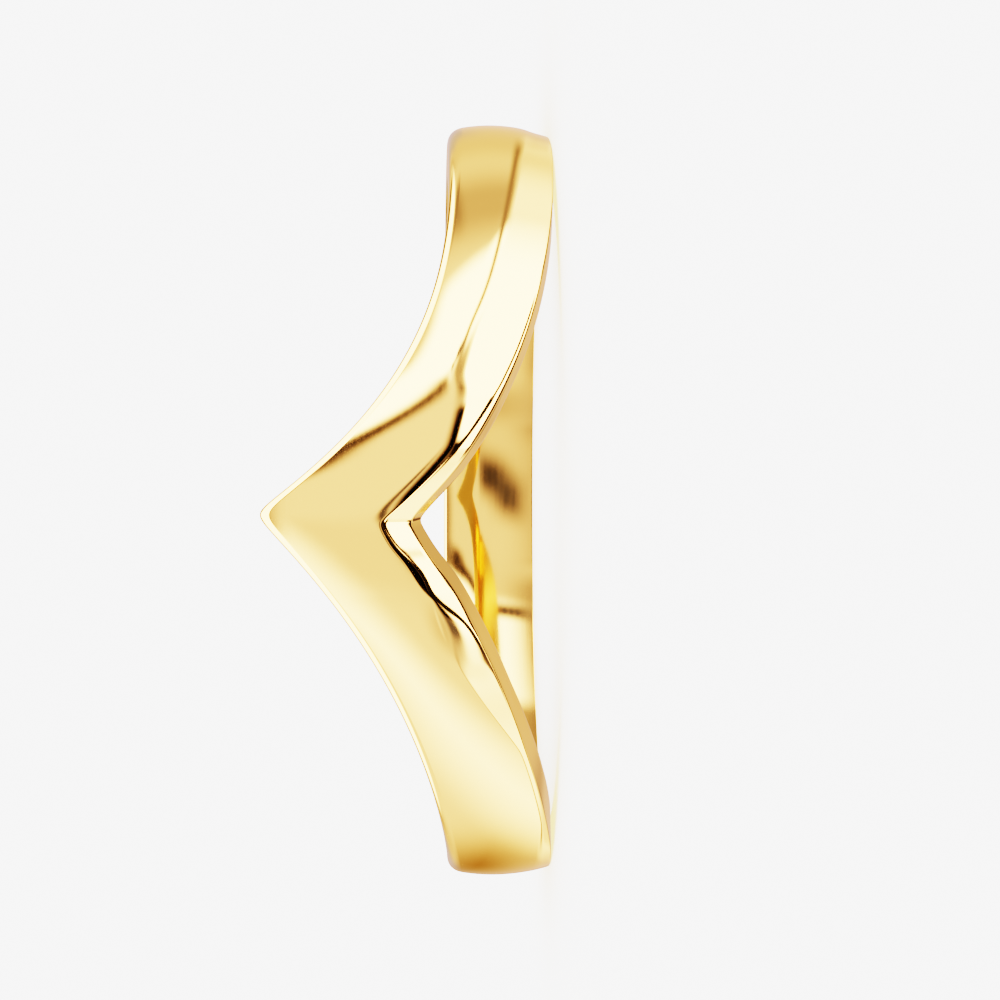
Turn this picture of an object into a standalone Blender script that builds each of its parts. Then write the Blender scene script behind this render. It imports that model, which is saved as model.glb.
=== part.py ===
"""Chevron ring: one solid gold band whose front sweeps up into a V point.

Units are metres. The ring lies on its side: +Z is the finger axis, the plain
back of the band rests on z = 0, and the V faces -Y. Angles run round the band
from the notch of the V, positive towards +X.
"""
import math
from collections import namedtuple

import bmesh
import bpy
import numpy as np

MM = 0.001

# Driving dimensions of the plain band
INNER_DIAMETER = 17.5 * MM
OUTER_DIAMETER = 20.4 * MM
SHANK_WIDTH = 2.72 * MM
CROWN_DROP = 0.15 * MM          # how far the outer face falls from its crest to the tip-side edge
CREST_SHARE_BACK = 0.5          # crest line across the outer face, from the ridge to the tip-side edge
CREST_SHARE_FRONT = 0.1
CREST_SHIFT_FROM = 35.0         # degrees round the band where the crest line starts and ends its shift
CREST_SHIFT_TO = 85.0
TIP_EDGE_RADIUS = 0.24 * MM     # rounded outer edge along the tip side
INNER_BEVEL = 0.12 * MM         # eased edges of the finger hole

# The two facets below the ridge: each falls this much for each unit of its height
RIDGE_FACET_FALL = 0.27
NOTCH_FACET_FALL = 0.50
LEAST_FACET = 0.05 * MM         # each facet is never narrower than this
FACET_BLEND = 0.06 * MM         # how softly the ridge facet closes
FOLD_FALL = 0.13                # along the V corner the ridge facet is a flatter fold
FOLD_MIDDLE = -3.75             # degrees
FOLD_REACH = 14.25

# The notch's side face is lower at the finger hole, by a share of the notch's height above a flat stretch
NOTCH_FACE_SLOPE = 0.094
NOTCH_FACE_FLAT = 1.2 * MM

# A long edge stands at its base height on the plain band and rises to an apex at the V. Each arm has
# its own reach round the band, in degrees, and its own power: the higher it is, the hollower the sweep.
Sweep = namedtuple("Sweep", "base rise apex reach_plus power_plus reach_minus power_minus rounding")
TIP_EDGE = Sweep(SHANK_WIDTH, 4.76 * MM, 1.2, 67.0, 3.63, 92.0, 3.55, 1.2)
NOTCH_EDGE = Sweep(0.0, 3.55 * MM, 0.0, 91.0, 3.99, 74.0, 2.31, 0.4)
RIDGE_LINE = Sweep(0.29 * MM, 3.87 * MM, -9.8, 123.8, 2.56, 30.5, 1.20, 12.0)

# Near the V corner each line is raised besides, by a smooth hump with its own half-width on each arm
Hump = namedtuple("Hump", "height middle half_plus power_plus half_minus power_minus rounding")
NOTCH_LIP = Hump(0.185 * MM, -1.8, 7.4, 4.0, 5.4, 4.0, 1.0)
NOTCH_FACET = Hump(0.69 * MM, -3.35, 11.9, 3.0, 8.55, 7.2, 1.0)
V_POINT = Hump(0.148 * MM, -1.5, 3.2, 4.0, 3.2, 4.0, 0.5)
RIDGE_FOLD = Hump(0.212 * MM, -7.2, 4.2, 2.0, 2.7, 2.2, 1.0)
RIDGE_SWELL = Hump(0.243 * MM, 21.9, 8.7, 4.0, 3.2, 4.0, 1.0)
CROWN_ROUNDING = 4.0            # degrees, so the outer face turns smoothly through the V

# Mesh density
STATIONS_PER_ARM = 76
STATION_CROWDING = 1.5          # above 1 gathers the stations at the V
CROWN_POINTS = 6
EDGE_POINTS = 4

GOLD_COLOUR = (0.88, 0.66, 0.30, 1.0)
GOLD_ROUGHNESS = 0.08


def clear_scene():
    """Removes every object from the open file."""
    for old in list(bpy.data.objects):
        bpy.data.objects.remove(old, do_unlink=True)


def gold_material():
    """Polished yellow gold."""
    material = bpy.data.materials.new("polished_gold")
    material.use_nodes = True
    shader = material.node_tree.nodes["Principled BSDF"]
    shader.inputs["Base Color"].default_value = GOLD_COLOUR
    shader.inputs["Metallic"].default_value = 1.0
    shader.inputs["Roughness"].default_value = GOLD_ROUGHNESS
    return material


def station_angles():
    """Angles round the whole band in degrees, crowded at the V, with 180 given once."""
    share = np.arange(-STATIONS_PER_ARM + 1, STATIONS_PER_ARM + 1) / STATIONS_PER_ARM
    return 180.0 * np.sign(share) * np.abs(share) ** STATION_CROWDING


def either_arm(offset, distance, on_plus, on_minus):
    """A value that passes smoothly from the -X arm's to the +X arm's at the apex."""
    return on_minus + 0.5 * (1.0 + offset / distance) * (on_plus - on_minus)


def swept_height(sweep, angles, least_rounding=0.0):
    """Height of a long edge: its base plus its rise times (1 - distance / reach) to its power."""
    offset = angles - sweep.apex
    distance = np.hypot(offset, max(sweep.rounding, least_rounding))
    reach = either_arm(offset, distance, sweep.reach_plus, sweep.reach_minus)
    power = either_arm(offset, distance, sweep.power_plus, sweep.power_minus)
    return sweep.base + sweep.rise * np.clip(1.0 - distance / reach, 0.0, None) ** power


def hump_height(hump, angles):
    """How far a hump raises a line: its height / (1 + (distance / half-width) to its power)."""
    offset = angles - hump.middle
    distance = np.hypot(offset, hump.rounding)
    half = either_arm(offset, distance, hump.half_plus, hump.half_minus)
    power = either_arm(offset, distance, hump.power_plus, hump.power_minus)
    return hump.height / (1.0 + (distance / half) ** power)


def soft_positive(value):
    """The value where it is positive and nearly zero where it isn't, with a smooth turn."""
    return 0.5 * (value + np.hypot(value, FACET_BLEND))


def facet_heights(angles, least_rounding=0.0):
    """Heights of the notch edge, the line between the two facets, and the ridge above them."""
    plain_notch = swept_height(NOTCH_EDGE, angles, least_rounding)
    notch = plain_notch + hump_height(NOTCH_LIP, angles)
    shelf = plain_notch + LEAST_FACET + hump_height(NOTCH_FACET, angles) + hump_height(V_POINT, angles)
    between = np.maximum(shelf - hump_height(RIDGE_FOLD, angles), notch + LEAST_FACET)
    above = swept_height(RIDGE_LINE, angles, least_rounding) + hump_height(RIDGE_SWELL, angles) - shelf
    return notch, between, shelf + LEAST_FACET + soft_positive(above)


def crown_radius(angles, heights):
    """Radius of the outer face: a parabola across it, highest along the crest line."""
    smooth_ridge = facet_heights(angles, CROWN_ROUNDING)[2]
    smooth_tip = swept_height(TIP_EDGE, angles, CROWN_ROUNDING)
    shift = np.clip((np.abs(angles) - CREST_SHIFT_FROM) / (CREST_SHIFT_TO - CREST_SHIFT_FROM), 0.0, 1.0)
    shift = shift * shift * (3.0 - 2.0 * shift)
    share = CREST_SHARE_FRONT + (CREST_SHARE_BACK - CREST_SHARE_FRONT) * shift
    crest = smooth_ridge + share * (smooth_tip - smooth_ridge)
    across = (heights - crest) / (smooth_tip - crest)
    return 0.5 * OUTER_DIAMETER - CROWN_DROP * across ** 2


def section_points(angles):
    """Radius and height of every section point at every station, from the finger hole round the outside."""
    notch, between, ridge = facet_heights(angles)
    tip = swept_height(TIP_EDGE, angles)
    bore = np.full_like(angles, 0.5 * INNER_DIAMETER)
    bore_notch = notch - NOTCH_FACE_SLOPE * np.clip(notch - NOTCH_FACE_FLAT, 0.0, None)
    at_fold = 1.0 / (1.0 + ((angles - FOLD_MIDDLE) / FOLD_REACH) ** 8)
    ridge_fall = RIDGE_FACET_FALL + (FOLD_FALL - RIDGE_FACET_FALL) * at_fold
    ridge_radius = crown_radius(angles, ridge)
    between_radius = ridge_radius - ridge_fall * (ridge - between)
    notch_radius = between_radius - NOTCH_FACET_FALL * (between - notch)

    bevel_rise = INNER_BEVEL * (notch - bore_notch) / (notch_radius - bore)
    points = [(bore, bore_notch + INNER_BEVEL), (bore + INNER_BEVEL, bore_notch + bevel_rise),
              (notch_radius, notch), (between_radius, between)]
    crown_top = tip - TIP_EDGE_RADIUS
    for share in np.linspace(0.0, 1.0, CROWN_POINTS):
        height = ridge + share * (crown_top - ridge)
        points.append((crown_radius(angles, height), height))
    edge_radius = crown_radius(angles, crown_top) - TIP_EDGE_RADIUS
    for turn in np.linspace(90.0, 0.0, EDGE_POINTS)[1:]:
        points.append((edge_radius + TIP_EDGE_RADIUS * math.sin(math.radians(turn)),
                       crown_top + TIP_EDGE_RADIUS * math.cos(math.radians(turn))))
    points += [(bore + INNER_BEVEL, tip), (bore, tip - INNER_BEVEL)]
    radius, height = (np.stack(column, axis=1) for column in zip(*points))
    return radius, height


def make_band(collection):
    """Lofts the band through its stations as one closed ring of quads."""
    angles = station_angles()
    radius, height = section_points(angles)
    turn = np.radians(angles)[:, None]
    corners = np.stack([radius * np.sin(turn), -radius * np.cos(turn), height], axis=-1)

    shape = bmesh.new()
    rings = [[shape.verts.new(corner) for corner in ring] for ring in corners]
    count = len(rings[0])
    for here, after in zip(rings, rings[1:] + rings[:1]):
        for k in range(count):
            following = (k + 1) % count
            shape.faces.new((here[k], after[k], after[following], here[following]))
    bmesh.ops.recalc_face_normals(shape, faces=shape.faces)

    mesh = bpy.data.meshes.new("chevron_band")
    shape.to_mesh(mesh)
    shape.free()
    mesh.shade_smooth()
    mesh.set_sharp_from_angle(angle=math.radians(12.0))
    mesh.materials.append(gold_material())
    band = bpy.data.objects.new("chevron_band", mesh)
    collection.objects.link(band)
    return band


clear_scene()
ring_collection = bpy.data.collections.new("chevron_ring")
bpy.context.scene.collection.children.link(ring_collection)
make_band(ring_collection)
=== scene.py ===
import math

import bpy
import numpy as np
from mathutils import Matrix, Vector


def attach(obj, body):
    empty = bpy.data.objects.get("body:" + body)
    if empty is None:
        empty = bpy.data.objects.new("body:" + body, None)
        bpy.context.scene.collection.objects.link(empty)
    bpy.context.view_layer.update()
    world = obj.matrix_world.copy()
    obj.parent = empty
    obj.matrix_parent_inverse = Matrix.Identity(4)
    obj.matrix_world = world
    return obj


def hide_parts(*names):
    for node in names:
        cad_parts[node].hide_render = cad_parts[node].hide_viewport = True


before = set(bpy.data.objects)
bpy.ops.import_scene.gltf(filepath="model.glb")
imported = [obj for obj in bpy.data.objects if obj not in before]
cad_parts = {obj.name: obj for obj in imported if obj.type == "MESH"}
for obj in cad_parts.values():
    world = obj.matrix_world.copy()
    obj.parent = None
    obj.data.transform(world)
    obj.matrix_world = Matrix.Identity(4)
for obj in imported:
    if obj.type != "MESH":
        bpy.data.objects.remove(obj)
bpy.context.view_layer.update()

MM = 0.001


# The band
# The whole ring is one piece of yellow gold, cast and then filed and polished: a plain D-section shank
# at the back, whose front sweeps up into a V. A ridge runs along it, with filed facets below the ridge.
INNER_DIAMETER = 17.5 * MM
OUTER_DIAMETER = 20.4 * MM
SHANK_WIDTH = 2.72 * MM
CROWN_DROP = 0.15 * MM
CROWN_ROUNDING = 4.0
CREST_SHARE_BACK, CREST_SHARE_FRONT = 0.5, 0.1
SHANK_FROM, SHANK_TO = 35.0, 85.0    # degrees from the notch over which the V's arms turn into the shank
RIDGE_FACET_FALL, NOTCH_FACET_FALL = 0.27, 0.50
LEAST_FACET = 0.05 * MM
FACET_BLEND = 0.06 * MM
EASED_TIP, EASED_TIP_BACK = 0.24 * MM, 0.40 * MM      # rounding of the tip side's outer edge, front and back
EASED_EDGE, EASED_EDGE_BACK = 0.06 * MM, 0.12 * MM    # rounding of the filed facets' edges
EASED_RIDGE, EASED_RIDGE_BACK = 0.03 * MM, 0.14 * MM  # rounding of the ridge
FOLD_FALL = 0.13                # along the V corner the ridge is a flatter fold
FOLD_MIDDLE, FOLD_REACH = -3.75, 14.25
RIDGE_ROLL_WIDTH = 0.45 * MM    # the outer face rolls over softly just above the ridge
RIDGE_ROLL_DROP = 0.036 * MM
RIDGE_ROLL_FROM, RIDGE_ROLL_OVER = 1.5, 2.0
RIDGE_ROLL_FADE, RIDGE_ROLL_END = 95.0, 150.0    # degrees over which it fades out, so the back has no step
FACET_BOW = 0.04                # near the V corner the -X arm's ridge facet bows by this share of its width
FACET_BOW_MIDDLE, FACET_BOW_REACH = -15.5, 5.5
NOTCH_FACE_SLOPE = 0.094        # the notch's side face is lower at the finger hole, by this share of
NOTCH_FACE_FLAT = 1.2 * MM      # the notch's height above this one
BORE_FLARE = 0.12 * MM          # the shank's finger hole opens by this much towards the tip side
BORE_FLARE_SHARE = 0.36         # over this share of its width
BORE_FALL = 0.045 * MM          # and by this much towards the plain side
BORE_FLARE_FROM, BORE_FLARE_OVER = 60.0, 25.0
EASED_BORE = 0.07 * MM          # rounding where the finger hole meets the tip side
EASED_BORE_NOTCH = 0.01 * MM    # and the plain side
LONGEST_CUT = 0.45              # a rounded corner reaches at most this share of the way along a side
STATIONS = 900
STATION_CROWDING = 1.5          # above 1 gathers the stations at the V
# Points on each corner's curve and on the side after it, in the order of the section's corners
SECTION_POINTS = [(5, 3), (5, 3), (5, 12), (6, 28), (10, 3), (5, 20)]

# A long edge: base and rise, apex angle, reach and power on the +X arm, the same on the -X arm, rounding.
TIP_EDGE = (SHANK_WIDTH, 4.76 * MM, 1.2, 67.0, 3.63, 92.0, 3.55, 1.2)
NOTCH_EDGE = (0.0, 3.55 * MM, 0.0, 91.0, 3.99, 74.0, 2.31, 0.7)
RIDGE_LINE = (0.29 * MM, 3.87 * MM, -9.8, 123.8, 2.56, 30.5, 1.20, 12.0)
# What is raised near the V corner: by how much, middle angle, half-width and power on the +X arm and the
# -X arm, rounding. The lip raises the notch edge, the facet and the point raise the ridge, and the fold
# lies under it.
NOTCH_LIP = (0.185 * MM, -1.8, 7.4, 4.0, 5.4, 4.0, 1.0)
NOTCH_FACET = (0.69 * MM, -3.35, 11.9, 3.0, 8.55, 7.2, 1.0)
V_POINT = (0.148 * MM, -1.5, 3.2, 4.0, 3.2, 4.0, 0.5)
RIDGE_FOLD = (0.212 * MM, -7.2, 4.2, 2.0, 2.7, 2.2, 1.0)
RIDGE_SWELL = (0.243 * MM, 21.9, 8.7, 4.0, 3.2, 4.0, 1.0)


def either_arm(offset, distance, on_plus, on_minus):
    """A value that passes smoothly from the -X arm's to the +X arm's at the apex."""
    return on_minus + 0.5 * (1.0 + offset / distance) * (on_plus - on_minus)


def edge_height(edge, angles, least_rounding=0.0):
    """Height of a long edge: base + rise * (1 - distance from the apex / reach) ** power.
    The distance is rounded off at the apex as the long side of a right triangle is."""
    base, rise, apex, reach_plus, power_plus, reach_minus, power_minus, rounding = edge
    offset = angles - apex
    distance = np.hypot(offset, max(rounding, least_rounding))
    reach = either_arm(offset, distance, reach_plus, reach_minus)
    power = either_arm(offset, distance, power_plus, power_minus)
    return base + rise * np.clip(1.0 - distance / reach, 0.0, None) ** power


def raised(form, angles):
    """How far a line is raised near the V corner: height / (1 + (distance / half-width) ** power)."""
    height, middle, half_plus, power_plus, half_minus, power_minus, rounding = form
    offset = angles - middle
    distance = np.hypot(offset, rounding)
    half = either_arm(offset, distance, half_plus, half_minus)
    return height / (1.0 + (distance / half) ** either_arm(offset, distance, power_plus, power_minus))


def ridge_and_facets(angles, least_rounding=0.0):
    """Heights of the notch edge, of the line between the facets and of the ridge, each above the last."""
    plain_notch = edge_height(NOTCH_EDGE, angles, least_rounding)
    notch = plain_notch + raised(NOTCH_LIP, angles)
    shelf = plain_notch + LEAST_FACET + raised(NOTCH_FACET, angles) + raised(V_POINT, angles)
    between = np.maximum(shelf - raised(RIDGE_FOLD, angles), notch + LEAST_FACET)
    above = edge_height(RIDGE_LINE, angles, least_rounding) + raised(RIDGE_SWELL, angles) - shelf
    return notch, between, shelf + LEAST_FACET + 0.5 * (above + np.hypot(above, FACET_BLEND))


def front_to_back(angles, front, back):
    """A value that turns smoothly from the front's to the back's, by s * s * (3 - 2 * s) of the share s."""
    share = np.clip((np.abs(angles) - SHANK_FROM) / (SHANK_TO - SHANK_FROM), 0.0, 1.0)
    return front + (back - front) * share * share * (3.0 - 2.0 * share)


def crown(angles, heights):
    """Radius of the domed outer face: half the outer diameter less a parabola either side of the crest line.
    The crest lies midway across at the back and moves down to the ridge at the front."""
    low = ridge_and_facets(angles, CROWN_ROUNDING)[2]
    high = edge_height(TIP_EDGE, angles, CROWN_ROUNDING)
    crest = low + front_to_back(angles, CREST_SHARE_FRONT, CREST_SHARE_BACK) * (high - low)
    above_ridge = heights - ridge_and_facets(angles)[2]
    roll = np.clip(1.0 - above_ridge / RIDGE_ROLL_WIDTH, 0.0, None) ** 2
    left = np.clip((RIDGE_ROLL_END - angles) / (RIDGE_ROLL_END - RIDGE_ROLL_FADE), 0.0, 1.0)
    past_notch = 0.5 * (1.0 + np.tanh((angles - RIDGE_ROLL_FROM) / RIDGE_ROLL_OVER))
    on_plus_arm = past_notch * left * left * (3.0 - 2.0 * left)
    return (0.5 * OUTER_DIAMETER - CROWN_DROP * ((heights - crest) / (high - crest)) ** 2
            - RIDGE_ROLL_DROP * roll * on_plus_arm)


def rounded_section(corners, cuts, counts, side_rise):
    """The closed section at every station: sides between corners, each corner a quadratic curve. The
    points of a side are crowded at its ends, so that it stays flat up to the rounded corners.
    corners are (radius, height) pairs of arrays, and cuts are how far each corner's curve reaches.
    side_rise gives, for some sides, how far they stand off the straight line at share t along them."""
    corners = np.array(corners)
    side = np.roll(corners, -1, axis=0) - corners
    length = np.hypot(side[:, 0], side[:, 1])
    cuts = np.stack([np.broadcast_to(cut, length.shape[1:]) for cut in cuts])
    cut_share = np.minimum(cuts / length, LONGEST_CUT)
    share_in = np.minimum(np.roll(cuts, -1, axis=0) / length, LONGEST_CUT)

    def on_side(k, t):
        point = corners[k] + t * side[k]
        if k in side_rise:
            point[0] = point[0] + side_rise[k](t, length[k], point[1])
        return point

    points = []
    for k, corner in enumerate(corners):
        start = on_side(k - 1 if k else len(corners) - 1, 1.0 - share_in[k - 1])
        end = on_side(k, cut_share[k])
        for t in np.linspace(0.0, 1.0, counts[k][0]):
            points.append((1 - t) ** 2 * start + 2 * t * (1 - t) * corner + t * t * end)
        for t in np.linspace(0.0, 1.0, counts[k][1] + 2)[1:-1]:
            crowded = t * t * (3.0 - 2.0 * t)
            points.append(on_side(k, (1 - crowded) * cut_share[k] + crowded * (1.0 - share_in[k])))
    return np.stack(points, axis=-1)


def outer_face(t, length, heights):
    """The domed outer face, as a rise above the straight line from the ridge to the tip edge."""
    return crown(station_angles, heights) - (ridge_radius + t * (tip_radius - ridge_radius))


def bowed_facet(t, length, heights):
    """A shallow arch along part of the -X arm: 4 * t * (1 - t) times its rise."""
    return 4.0 * t * (1.0 - t) * length * facet_bow


def flared_bore(t, length, heights):
    """The finger hole's wall: it opens by (1 - t / share) ** 1.5 at the tip side and by
    ((t - share) / (1 - share)) ** 2 at the plain side, each less its straight line between the corners."""
    tip_side = np.clip(1.0 - t / BORE_FLARE_SHARE, 0.0, None) ** 1.5 - (1.0 - t)
    plain_side = np.clip((t - BORE_FLARE_SHARE) / (1.0 - BORE_FLARE_SHARE), 0.0, None) ** 2 - t
    return bore_open * (BORE_FLARE * tip_side + BORE_FALL * plain_side)


POLISH_DEPTH = 0.001 * MM       # how deep the polishing lines are
POLISH_STRENGTH = 0.08
POLISH_STRETCH = (6.0, 12000.0, 12000.0)    # noise cells per radian round the band, and per metre across it
POLISH_DETAIL = 3.0
POLISH_LOW, POLISH_HIGH = 0.3, 0.7          # the noise values at the smoothest and the roughest
# The second gold is a darker copy of the first, painted shade inside the finger hole.
OUTER_GOLD, SHADED_BORE_GOLD = (1.0, 0.71, 0.25, 1.0), (0.83, 0.59, 0.205, 1.0)
SMOOTHEST, ROUGHEST = 0.05, 0.075
EDGE_TINT = (1.0, 0.92, 0.66, 1.0)          # gold's tint at grazing angles


def polish_and_bore_shade_group():
    """Fine polishing lines round the band: noise on (angle, radius, height) drawn out along the angle.
    The finger hole, inside a radius a little above its own, has a darker copy of the gold as its base
    colour: painted shade."""
    group = bpy.data.node_groups.new("polished_gold", "ShaderNodeTree")
    group.interface.new_socket("Object Position", in_out="INPUT", socket_type="NodeSocketVector")
    group.interface.new_socket("Base Color", in_out="OUTPUT", socket_type="NodeSocketColor")
    group.interface.new_socket("Roughness", in_out="OUTPUT", socket_type="NodeSocketFloat")
    group.interface.new_socket("Height", in_out="OUTPUT", socket_type="NodeSocketFloat")
    position = group.nodes.new("ShaderNodeSeparateXYZ")
    group.links.new(group.nodes.new("NodeGroupInput").outputs["Object Position"], position.inputs[0])
    flat = group.nodes.new("ShaderNodeCombineXYZ")
    angle = group.nodes.new("ShaderNodeMath")
    angle.operation = "ARCTAN2"
    radius = group.nodes.new("ShaderNodeVectorMath")
    radius.operation = "LENGTH"
    lines = group.nodes.new("ShaderNodeCombineXYZ")
    for axis in ("X", "Y"):
        group.links.new(position.outputs[axis], flat.inputs[axis])
    group.links.new(position.outputs["X"], angle.inputs[0])
    group.links.new(position.outputs["Y"], angle.inputs[1])
    group.links.new(flat.outputs[0], radius.inputs[0])
    group.links.new(angle.outputs[0], lines.inputs["X"])
    group.links.new(radius.outputs["Value"], lines.inputs["Y"])
    group.links.new(position.outputs["Z"], lines.inputs["Z"])
    drawn_out = group.nodes.new("ShaderNodeVectorMath")
    drawn_out.operation = "MULTIPLY"
    drawn_out.inputs[1].default_value = POLISH_STRETCH
    group.links.new(lines.outputs[0], drawn_out.inputs[0])
    noise = group.nodes.new("ShaderNodeTexNoise")
    noise.inputs["Scale"].default_value = 1.0
    noise.inputs["Detail"].default_value = POLISH_DETAIL
    group.links.new(drawn_out.outputs[0], noise.inputs["Vector"])
    result = group.nodes.new("NodeGroupOutput")
    group.links.new(noise.outputs["Fac"], result.inputs["Height"])
    roughness = group.nodes.new("ShaderNodeMapRange")
    roughness.inputs["From Min"].default_value = POLISH_LOW
    roughness.inputs["From Max"].default_value = POLISH_HIGH
    roughness.inputs["To Min"].default_value = SMOOTHEST
    roughness.inputs["To Max"].default_value = ROUGHEST
    group.links.new(noise.outputs["Fac"], roughness.inputs["Value"])
    # Painted shade: the darker gold is blended in by radius, inside the finger hole.
    out_of_bore_shade, tone = group.nodes.new("ShaderNodeMapRange"), group.nodes.new("ShaderNodeMix")
    out_of_bore_shade.interpolation_type = "SMOOTHSTEP"
    out_of_bore_shade.inputs["From Min"].default_value = 0.5 * INNER_DIAMETER + BORE_FLARE
    out_of_bore_shade.inputs["From Max"].default_value = 0.5 * INNER_DIAMETER + BORE_FLARE + EASED_BORE
    group.links.new(radius.outputs["Value"], out_of_bore_shade.inputs["Value"])
    tone.data_type = "RGBA"
    tone.inputs["A"].default_value = SHADED_BORE_GOLD
    tone.inputs["B"].default_value = OUTER_GOLD
    group.links.new(out_of_bore_shade.outputs["Result"], tone.inputs["Factor"])
    group.links.new(tone.outputs["Result"], result.inputs["Base Color"])
    group.links.new(roughness.outputs["Result"], result.inputs["Roughness"])
    return group


station_share = np.arange(-STATIONS // 2 + 1, STATIONS // 2 + 1) / (STATIONS // 2)
station_angles = 180.0 * np.sign(station_share) * np.abs(station_share) ** STATION_CROWDING
notch, between, ridge = ridge_and_facets(station_angles)
tip = edge_height(TIP_EDGE, station_angles)
bore = np.full_like(station_angles, 0.5 * INNER_DIAMETER)
bore_open = 0.5 * (1.0 + np.tanh((np.abs(station_angles) - BORE_FLARE_FROM) / BORE_FLARE_OVER))
bore_notch = notch - NOTCH_FACE_SLOPE * np.clip(notch - NOTCH_FACE_FLAT, 0.0, None)
at_fold = 1.0 / (1.0 + ((station_angles - FOLD_MIDDLE) / FOLD_REACH) ** 8)
ridge_fall = RIDGE_FACET_FALL + (FOLD_FALL - RIDGE_FACET_FALL) * at_fold
facet_bow = FACET_BOW / (1.0 + ((station_angles - FACET_BOW_MIDDLE) / FACET_BOW_REACH) ** 8)
ridge_radius = crown(station_angles, ridge)
between_radius = ridge_radius - ridge_fall * (ridge - between)
notch_radius = between_radius - NOTCH_FACET_FALL * (between - notch)
tip_radius = crown(station_angles, tip)
eased_edge = front_to_back(station_angles, EASED_EDGE, EASED_EDGE_BACK)
section = rounded_section(
    [(bore + BORE_FALL * bore_open, bore_notch), (notch_radius, notch), (between_radius, between),
     (ridge_radius, ridge), (tip_radius, tip), (bore + BORE_FLARE * bore_open, tip)],
    [EASED_BORE_NOTCH, eased_edge, eased_edge, front_to_back(station_angles, EASED_RIDGE, EASED_RIDGE_BACK),
     front_to_back(station_angles, EASED_TIP, EASED_TIP_BACK), EASED_BORE],
    SECTION_POINTS,
    {2: bowed_facet, 3: outer_face, 5: flared_bore})
turn = np.radians(station_angles)[:, None]
section_radius, section_height = section[0], section[1]
rows, columns = section_radius.shape
points = np.stack([section_radius * np.sin(turn), -section_radius * np.cos(turn), section_height], axis=-1)
row, column = np.meshgrid(np.arange(rows), np.arange(columns), indexing="ij")
row_after, column_after = (row + 1) % rows, (column + 1) % columns
quads = np.stack([row * columns + column, row_after * columns + column,
                  row_after * columns + column_after, row * columns + column_after], axis=-1).reshape(-1, 4)

band_mesh = bpy.data.meshes.new("polished_band")
band_mesh.from_pydata(points.reshape(-1, 3), [], quads)
band_mesh.shade_smooth()
band = bpy.data.objects.new("polished_band", band_mesh)
bpy.context.scene.collection.objects.link(band)
gold = bpy.data.materials.new("polished_gold")
gold.use_nodes = True
tree = gold.node_tree
shader = tree.nodes["Principled BSDF"]
shader.inputs["Metallic"].default_value = 1.0
shader.inputs["Specular Tint"].default_value = EDGE_TINT
polish = tree.nodes.new("ShaderNodeGroup")
polish.node_tree = polish_and_bore_shade_group()
ripple = tree.nodes.new("ShaderNodeBump")
ripple.inputs["Strength"].default_value = POLISH_STRENGTH
ripple.inputs["Distance"].default_value = POLISH_DEPTH
tree.links.new(tree.nodes.new("ShaderNodeTexCoord").outputs["Object"], polish.inputs["Object Position"])
tree.links.new(polish.outputs["Base Color"], shader.inputs["Base Color"])
tree.links.new(polish.outputs["Roughness"], shader.inputs["Roughness"])
tree.links.new(polish.outputs["Height"], ripple.inputs["Height"])
tree.links.new(ripple.outputs["Normal"], shader.inputs["Normal"])
band_mesh.materials.append(gold)
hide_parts("chevron_band")
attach(band, "root")


# Floor and backdrop
# A plain pale paper floor under the ring, which runs on into a backdrop of the same tone. The paper takes
# the ring's soft shadow, and the polished gold reflects the studio around it instead of the paper.
FLOOR_SIZE = 2.0
PAPER_WHITENESS = 0.8
FIBRE_SCALE, FIBRE_TONE = 1500.0, 0.008    # fibres about 0.7 mm apart, and how much they vary the tone
floor_corner = 0.5 * FLOOR_SIZE
floor_mesh = bpy.data.meshes.new("floor")
floor_mesh.from_pydata([(-floor_corner, -floor_corner, 0.0), (floor_corner, -floor_corner, 0.0),
                        (floor_corner, floor_corner, 0.0), (-floor_corner, floor_corner, 0.0)],
                       [], [(0, 1, 2, 3)])
floor = bpy.data.objects.new("floor", floor_mesh)
bpy.context.scene.collection.objects.link(floor)
floor.visible_glossy = False
paper = bpy.data.materials.new("paper")
paper.use_nodes = True
tree = paper.node_tree
shader = tree.nodes["Principled BSDF"]
shader.inputs["Roughness"].default_value = 1.0
shader.inputs["Specular IOR Level"].default_value = 0.0
fibres = tree.nodes.new("ShaderNodeTexNoise")
fibres.inputs["Scale"].default_value = FIBRE_SCALE
fibres.inputs["Detail"].default_value = 4.0
tone = tree.nodes.new("ShaderNodeMapRange")
tone.inputs["To Min"].default_value = PAPER_WHITENESS - FIBRE_TONE
tone.inputs["To Max"].default_value = PAPER_WHITENESS + FIBRE_TONE
tree.links.new(tree.nodes.new("ShaderNodeTexCoord").outputs["Object"], fibres.inputs["Vector"])
tree.links.new(fibres.outputs["Fac"], tone.inputs["Value"])
tree.links.new(tone.outputs["Result"], shader.inputs["Base Color"])
floor_mesh.materials.append(paper)


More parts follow.
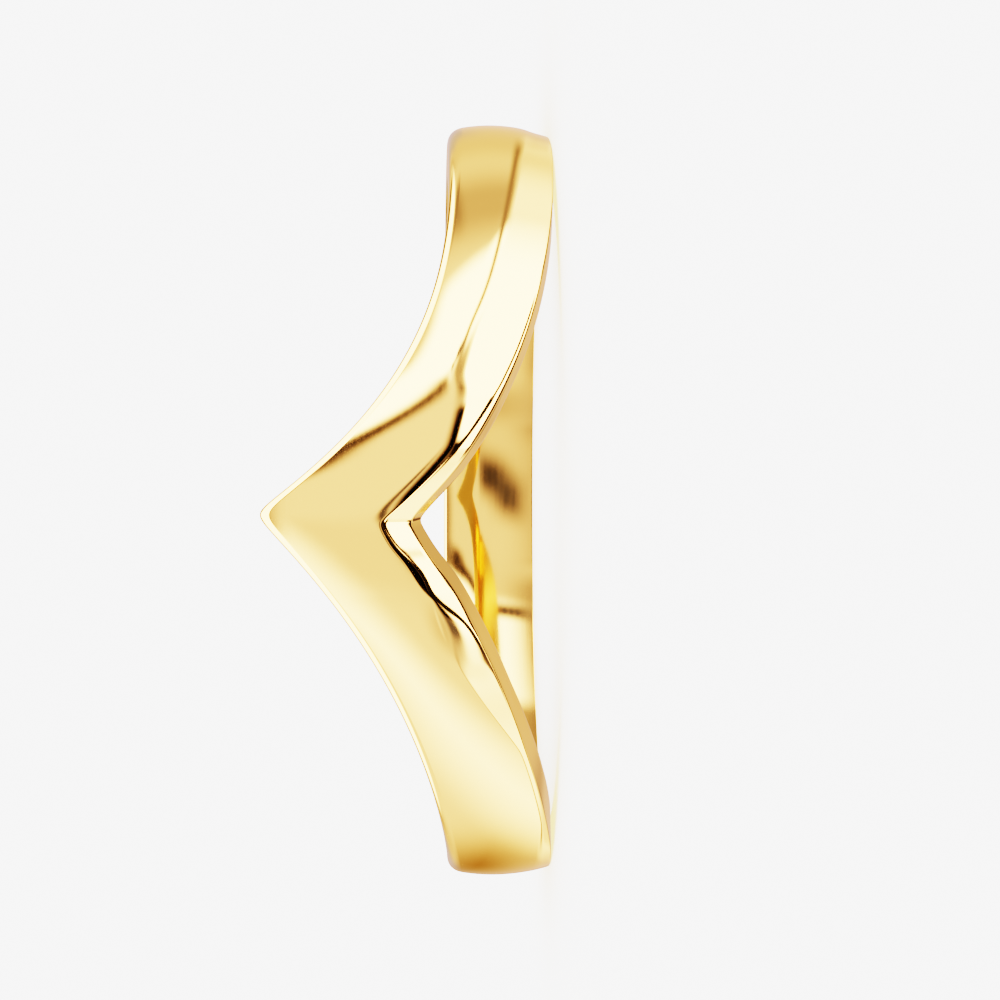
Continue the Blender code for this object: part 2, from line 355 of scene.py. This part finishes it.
# Studio light
# A pale tent round the ring, with soft white panels, dimmer gaps between them and dark flags, each given by
# its middle and half-width in degrees of azimuth (from -Y towards +X) and of elevation.
TENT_LEVEL = 1.75
BACKDROP_LEVEL = 2.5
PANELS = {
    # name: (azimuth, half, softness, elevation, half, softness, slant, level, warmth), later over earlier
    "back_wall": (180.0, 54.0, 16.0, 0.0, 90.0, 1.0, 0.0, 1.07, 0.0),
    "behind": (180.0, 9.0, 8.0, 0.0, 60.0, 10.0, 0.0, 1.0, 0.5),
    "dim_gap": (103.0, 15.0, 12.0, 0.0, 60.0, 10.0, 0.0, 0.72, 0.0),
    "key_panel": (62.0, 21.0, 5.0, 0.0, 70.0, 10.0, -0.6, 8.0, 0.0),
    "side_wedge": (64.0, 14.0, 6.0, 20.0, 5.0, 3.0, 0.0, 1.2, 0.0),
    "front_left": (-14.0, 12.0, 6.0, 5.0, 12.0, 4.0, 0.0, 1.5, 0.0),
    "fill_panel": (-88.0, 16.0, 24.0, 0.0, 50.0, 10.0, 3.2, 4.8, 0.0),
    "tan_gap": (-34.0, 7.0, 6.0, -3.5, 3.0, 2.5, 0.0, 0.95, 0.0),
    "overhead_panel": (0.0, 200.0, 1.0, 90.0, 65.0, 3.0, 0.0, 7.0, 0.0),
    "table_front": (25.0, 62.0, 15.0, -90.0, 72.0, 4.0, 0.0, 8.0, 0.0),
    "table_side": (105.0, 18.0, 15.0, -90.0, 77.0, 3.0, 0.0, 3.3, 0.0),
    "table_far": (162.0, 30.0, 15.0, -90.0, 81.0, 3.0, 0.0, 2.0, 0.0),
    "table_left": (-75.0, 30.0, 15.0, -90.0, 76.0, 4.0, 0.0, 4.2, 0.0),
    "table_low_left": (-122.0, 14.0, 12.0, -90.0, 78.0, 3.0, 0.0, 2.0, 0.0),
    "table_far_left": (-165.0, 25.0, 14.0, -90.0, 81.0, 3.0, 0.0, 1.4, 0.0),
    "far_dark": (180.0, 40.0, 10.0, 39.0, 15.0, 5.0, 0.0, 0.14, 0.7),
    "far_dark_left": (-165.0, 25.0, 14.0, 37.0, 15.0, 5.0, 0.0, 0.35, 0.7),
    "pale_wall": (180.0, 30.0, 8.0, 10.0, 8.0, 3.0, 0.0, 0.65, -1.0),
    "nadir_flag": (0.0, 200.0, 1.0, -90.0, 34.0, 2.0, 0.0, 0.06, 0.0),
    "facet_line": (10.0, 52.0, 6.0, -40.5, 5.0, 1.5, 0.0, 0.05, 0.0),
    "arm_line": (-5.0, 32.0, 5.0, -40.5, 7.5, 1.5, 0.0, 0.03, 0.0),
    "low_line": (-42.0, 12.0, 3.0, -53.0, 3.5, 1.0, 0.0, 0.04, 0.0),
    "edge_line": (118.0, 42.0, 8.0, -48.0, 9.0, 2.0, 0.0, 0.08, 0.0),
    "side_gap": (92.0, 52.0, 10.0, -8.0, 2.0, 2.0, 0.0, 0.34, 0.0),
    "left_gap": (-85.0, 45.0, 12.0, -9.0, 2.0, 2.0, 0.0, 0.36, 0.0),
    "upper_gap": (107.0, 12.0, 8.0, 15.0, 5.0, 2.0, 0.0, 0.34, 0.0),
    "lens_gap": (10.0, 25.0, 8.0, 21.0, 3.0, 2.0, 0.0, 0.2, 0.0),
    "narrow_flag": (39.5, 3.0, 2.8, 9.5, 8.0, 2.5, -0.75, 0.13, 0.0),
    "wide_flag": (38.0, 5.0, 3.0, 15.0, 3.0, 3.0, -0.75, 0.08, 0.0),
    "thin_flag": (42.5, 1.3, 1.3, -1.5, 1.2, 0.8, 0.0, 0.3, 0.0),
    "soft_flag": (37.0, 6.0, 8.0, -12.0, 5.0, 5.0, 0.0, 0.25, 0.0),
    "brown_flag": (-30.0, 8.5, 7.0, -15.0, 7.0, 4.5, 0.0, 0.16, -1.0),
    "dark_spot": (-9.0, 8.0, 6.5, -2.9, 2.3, 1.9, -1.0, 0.075, -1.0),
    "brown_spot": (-3.5, 8.0, 6.5, -5.3, 1.8, 1.5, -1.0, 0.12, -1.0),
    "brown_arc": (44.0, 2.8, 2.3, -4.9, 2.6, 1.5, -0.5, 0.13, -1.0),
    "low_flag": (1.5, 27.0, 2.5, -15.5, 6.5, 5.0, 0.0, 0.0, 0.0),
    "fold_flag": (-1.0, 15.0, 3.0, -28.0, 9.5, 2.0, 0.0, 0.02, 0.0),
    "fold_wedge": (23.0, 10.0, 2.0, -35.5, 4.5, 1.0, 0.0, 0.03, 0.0),
    "tan_wall": (172.0, 14.0, 4.0, -25.0, 15.0, 4.0, 0.0, 0.62, 0.1),
    "tan_wall_left": (-173.0, 12.0, 4.0, -10.0, 14.0, 3.0, 0.0, 0.88, 0.35),
    "outline": (-168.5, 4.0, 2.5, -19.0, 4.0, 2.0, 0.0, 0.12, 0.0),
    "warm_corner": (-144.0, 20.0, 22.0, 1.0, 4.0, 5.0, 0.0, 0.36, 1.0),
}
LIGHT_TINT = (1.10, 0.725, 0.645)
WARM_TINT = (1.0, 0.78, 0.35)


def group_math(group, operation, first, second=None, third=None):
    """One Math node in a group: operation on sockets or plain numbers; returns its output socket."""
    node = group.nodes.new("ShaderNodeMath")
    node.operation = operation
    for index, value in enumerate((first, second, third)):
        if value is None:
            continue
        if isinstance(value, (int, float)):
            node.inputs[index].default_value = value
        else:
            group.links.new(value, node.inputs[index])
    return node.outputs[0]


def soft_panel_group():
    """Mask of a soft-edged panel: 1 where both |azimuth - slant * elevation - middle| and
    |elevation - middle| are less than their half-widths, fading out over their softness. The
    azimuth's difference is wrapped, so a panel behind the ring passes over 180 degrees unbroken."""
    group = bpy.data.node_groups.new("soft_panel", "ShaderNodeTree")
    for name in ("Azimuth", "Elevation", "Middle Azimuth", "Half Azimuth", "Soft Azimuth",
                 "Middle Elevation", "Half Elevation", "Soft Elevation", "Slant"):
        group.interface.new_socket(name, in_out="INPUT", socket_type="NodeSocketFloat")
    group.interface.new_socket("Mask", in_out="OUTPUT", socket_type="NodeSocketFloat")
    given = group.nodes.new("NodeGroupInput").outputs
    against = group_math(group, "MULTIPLY", given["Slant"], -1.0)
    slanted = group_math(group, "MULTIPLY_ADD", given["Elevation"], against, given["Azimuth"])
    masks = []
    for value, kind in ((slanted, "Azimuth"), (given["Elevation"], "Elevation")):
        away = group_math(group, "SUBTRACT", value, given["Middle " + kind])
        if kind == "Azimuth":
            away = group_math(group, "WRAP", away, 180.0, -180.0)
        away = group_math(group, "ABSOLUTE", away)
        inside = group_math(group, "SUBTRACT", given["Half " + kind], away)
        step = group.nodes.new("ShaderNodeMapRange")
        step.interpolation_type = "SMOOTHSTEP"
        group.links.new(inside, step.inputs["Value"])
        group.links.new(group_math(group, "MULTIPLY", given["Soft " + kind], -1.0), step.inputs["From Min"])
        group.links.new(given["Soft " + kind], step.inputs["From Max"])
        masks.append(step.outputs["Result"])
    result = group.nodes.new("NodeGroupOutput")
    group.links.new(group_math(group, "MULTIPLY", masks[0], masks[1]), result.inputs["Mask"])
    return group


studio = bpy.data.worlds.new("studio")
bpy.context.scene.world = studio
studio.use_nodes = True
tree = studio.node_tree
direction = tree.nodes.new("ShaderNodeSeparateXYZ")
tree.links.new(tree.nodes.new("ShaderNodeTexCoord").outputs["Generated"], direction.inputs[0])
minus_y = group_math(tree, "MULTIPLY", direction.outputs["Y"], -1.0)
azimuth = group_math(tree, "DEGREES", group_math(tree, "ARCTAN2", direction.outputs["X"], minus_y))
elevation = group_math(tree, "DEGREES", group_math(tree, "ARCSINE", direction.outputs["Z"]))
soft_panel = soft_panel_group()
tint = tree.nodes.new("ShaderNodeRGB")
tint.outputs[0].default_value = [TENT_LEVEL * share for share in LIGHT_TINT] + [1.0]
light = tint.outputs[0]
for name, (az, az_half, az_soft, el, el_half, el_soft, slant, level, warmth) in PANELS.items():
    mask = tree.nodes.new("ShaderNodeGroup")
    mask.node_tree = soft_panel
    mask.label = name
    tree.links.new(azimuth, mask.inputs["Azimuth"])
    tree.links.new(elevation, mask.inputs["Elevation"])
    for socket, value in zip(list(mask.inputs)[2:], (az, az_half, az_soft, el, el_half, el_soft, slant)):
        socket.default_value = value
    over = tree.nodes.new("ShaderNodeMix")
    over.data_type = "RGBA"
    tree.links.new(mask.outputs["Mask"], over.inputs["Factor"])
    tree.links.new(light, over.inputs["A"])
    over.inputs["B"].default_value = [level * share * (1.0 + warmth * (warm - 1.0))
                                      for share, warm in zip(LIGHT_TINT, WARM_TINT)] + [1.0]
    light = over.outputs["Result"]
path = tree.nodes.new("ShaderNodeLightPath")
bounced = group_math(tree, "GREATER_THAN", path.outputs["Diffuse Depth"], 0.5)
for switch, level in ((bounced, BACKDROP_LEVEL / PAPER_WHITENESS),
                      (path.outputs["Is Camera Ray"], BACKDROP_LEVEL)):
    seen = tree.nodes.new("ShaderNodeMix")
    seen.data_type = "RGBA"
    tree.links.new(switch, seen.inputs["Factor"])
    tree.links.new(light, seen.inputs["A"])
    seen.inputs["B"].default_value = (level, level, level, 1.0)
    light = seen.outputs["Result"]
tree.links.new(light, tree.nodes["Background"].inputs["Color"])
studio.cycles.sampling_method = "NONE"
bpy.context.scene.view_settings.view_transform = "Filmic"
bpy.context.scene.view_settings.look = "Very High Contrast"


# Camera
CAMERA_DISTANCE = 71.7 * MM
CAMERA_AZIMUTH = math.radians(3.07)
CAMERA_ELEVATION = math.radians(1.66)
TARGET = Vector((0.0, 0.0, 1.254 * MM))
PICTURE_SCALE = 2607.0          # focal length in pixels of a picture 1000 pixels wide
PICTURE_WIDTH = 1000.0
SENSOR_WIDTH = 36.0
camera_data = bpy.data.cameras.new("camera")
camera_data.sensor_width = SENSOR_WIDTH
camera_data.lens = SENSOR_WIDTH * PICTURE_SCALE / PICTURE_WIDTH
camera_data.clip_start = 0.001
camera = bpy.data.objects.new("camera", camera_data)
bpy.context.scene.collection.objects.link(camera)
back = Vector((math.sin(CAMERA_AZIMUTH) * math.cos(CAMERA_ELEVATION),
               -math.cos(CAMERA_AZIMUTH) * math.cos(CAMERA_ELEVATION), math.sin(CAMERA_ELEVATION)))
up = Vector((math.cos(CAMERA_AZIMUTH), math.sin(CAMERA_AZIMUTH), 0.0))
right = up.cross(back)
aim = Matrix((right, up, back)).transposed().to_4x4()
camera.matrix_world = Matrix.Translation(TARGET + back * CAMERA_DISTANCE) @ aim
bpy.context.scene.camera = camera
